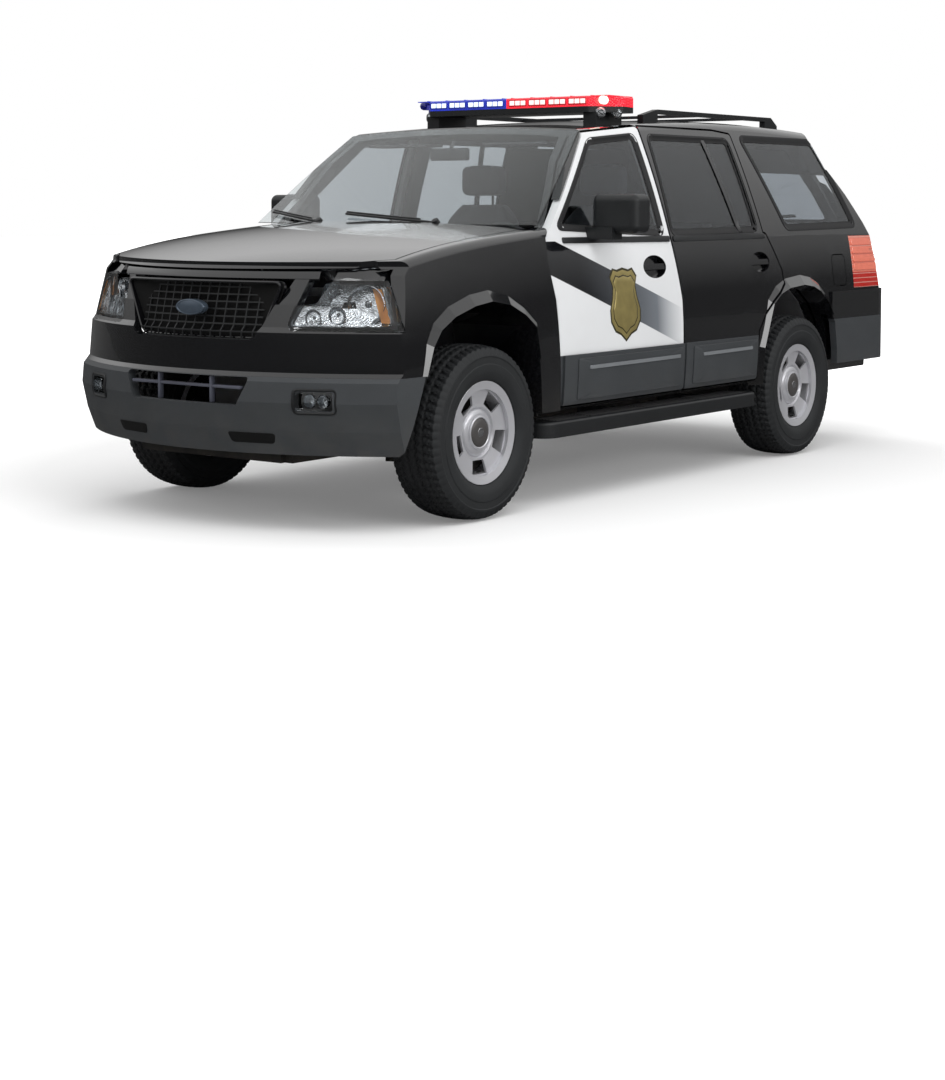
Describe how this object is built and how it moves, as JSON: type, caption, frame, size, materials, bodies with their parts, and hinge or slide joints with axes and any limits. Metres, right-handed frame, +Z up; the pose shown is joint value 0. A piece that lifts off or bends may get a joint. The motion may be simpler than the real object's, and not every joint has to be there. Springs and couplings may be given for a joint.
{
  "type": "police sport utility vehicle",
  "caption": "Full-size police sport utility vehicle with hinged doors, hood, liftgate and fuel flap, steered front wheels, rolling wheels, roof rack and light bar.",
  "frame": {"origin": "on the ground under the middle of the vehicle's length and width", "axes": "+X forward, +Y to the vehicle's left, +Z up"},
  "size_m": [5.2222, 2.39, 2.006],
  "materials": {
    "paint_black": "gloss",
    "paint_white": "gloss",
    "plastic_charcoal": "textured",
    "plastic_black": "matte",
    "glass_tinted": "gloss",
    "glass_clear": "gloss",
    "lens_red": "gloss",
    "lens_blue": "gloss",
    "rim_silver": "satin",
    "tyre_rubber": "matte",
    "steel_dark": "satin",
    "cloth_gray": "woven",
    "interior_gray": "matte"
  },
  "bodies": {
    "body": {"body_side_left": "paint_black", "body_side_right": "paint_black", "chassis_frame": "steel_dark", "cowl": "plastic_black", "dashboard": "interior_gray", "engine_block": "steel_dark", "fender_left": "paint_black", "fender_right": "paint_black", "floor_pan": "interior_gray", "fog_lamps": "glass_clear", "front_bumper": "paint_black", "front_seats": "cloth_gray", "front_valance": "plastic_charcoal", "grille": "plastic_black", "headlamps": "glass_clear", "light_bar_base": "plastic_black", "light_bar_blue": "lens_blue", "light_bar_red": "lens_red", "quarter_glass": "glass_tinted", "rear_axle": "steel_dark", "rear_bumper": "paint_black", "rear_seat": "cloth_gray", "rear_valance": "plastic_charcoal", "roof_panel": "paint_black", "roof_rack": "plastic_black", "running_boards": "plastic_black", "seat_bases": "interior_gray", "steering_wheel": "interior_gray", "suspension": "steel_dark", "tail_lamps": "lens_red", "windshield": "glass_tinted"},
    "hood": {"hood": "paint_black"},
    "door_front_left": {"door_front_left": "paint_white", "glass_front_left": "glass_tinted", "mirror_left": "plastic_black"},
    "door_front_right": {"door_front_right": "paint_black", "glass_front_right": "glass_tinted", "mirror_right": "plastic_black"},
    "door_rear_left": {"door_rear_left": "paint_black", "glass_rear_left": "glass_tinted"},
    "door_rear_right": {"door_rear_right": "paint_black", "glass_rear_right": "glass_tinted"},
    "liftgate": {"liftgate": "paint_black", "liftgate_glass": "glass_tinted"},
    "fuel_flap": {"fuel_flap": "paint_black"},
    "knuckle_left": {"knuckle_left": "steel_dark"},
    "knuckle_right": {"knuckle_right": "steel_dark"},
    "wheel_front_left": {"tyre_front_left": "tyre_rubber", "rim_front_left": "rim_silver"},
    "wheel_front_right": {"tyre_front_right": "tyre_rubber", "rim_front_right": "rim_silver"},
    "wheel_rear_left": {"tyre_rear_left": "tyre_rubber", "rim_rear_left": "rim_silver"},
    "wheel_rear_right": {"tyre_rear_right": "tyre_rubber", "rim_rear_right": "rim_silver"}
  },
  "joints": [
    {"name": "hood_hinge", "type": "hinge", "parent": "body", "child": "hood", "pos_m": [1.085, 0, 1.372], "axis": [0, -1, 0], "range_deg": [0, 48]},
    {"name": "door_front_left_hinge", "type": "hinge", "parent": "body", "child": "door_front_left", "pos_m": [1.103, 0.992, 0.8], "axis": [0, 0.0523, -0.9986], "range_deg": [0, 62]},
    {"name": "door_rear_left_hinge", "type": "hinge", "parent": "body", "child": "door_rear_left", "pos_m": [-0.02, 0.992, 0.8], "axis": [0, 0.0523, -0.9986], "range_deg": [0, 62]},
    {"name": "steer_left", "type": "hinge", "parent": "body", "child": "knuckle_left", "pos_m": [1.635, 0.78, 0.4015], "axis": [0, 0, 1], "range_deg": [-32, 32]},
    {"name": "wheel_front_left_spin", "type": "hinge", "parent": "knuckle_left", "child": "wheel_front_left", "pos_m": [1.635, 0.851, 0.4015], "axis": [0, 1, 0], "continuous": true},
    {"name": "wheel_rear_left_spin", "type": "hinge", "parent": "body", "child": "wheel_rear_left", "pos_m": [-1.388, 0.851, 0.4015], "axis": [0, 1, 0], "continuous": true},
    {"name": "door_front_right_hinge", "type": "hinge", "parent": "body", "child": "door_front_right", "pos_m": [1.103, -0.992, 0.8], "axis": [0, 0.0523, 0.9986], "range_deg": [0, 62]},
    {"name": "door_rear_right_hinge", "type": "hinge", "parent": "body", "child": "door_rear_right", "pos_m": [-0.02, -0.992, 0.8], "axis": [0, 0.0523, 0.9986], "range_deg": [0, 62]},
    {"name": "steer_right", "type": "hinge", "parent": "body", "child": "knuckle_right", "pos_m": [1.635, -0.78, 0.4015], "axis": [0, 0, 1], "range_deg": [-32, 32]},
    {"name": "wheel_front_right_spin", "type": "hinge", "parent": "knuckle_right", "child": "wheel_front_right", "pos_m": [1.635, -0.851, 0.4015], "axis": [0, 1, 0], "continuous": true},
    {"name": "wheel_rear_right_spin", "type": "hinge", "parent": "body", "child": "wheel_rear_right", "pos_m": [-1.388, -0.851, 0.4015], "axis": [0, 1, 0], "continuous": true},
    {"name": "liftgate_hinge", "type": "hinge", "parent": "body", "child": "liftgate", "pos_m": [-1.868, 0, 1.892], "axis": [0, 1, 0], "range_deg": [0, 82]},
    {"name": "fuel_flap_hinge", "type": "hinge", "parent": "body", "child": "fuel_flap", "pos_m": [-1.842, 0.968, 1.051], "axis": [0, 0, -1], "range_deg": [0, 80]}
  ],
  "couplings": [
    {"joint": "steer_right", "follows": "steer_left", "ratio": 1}
  ]
}
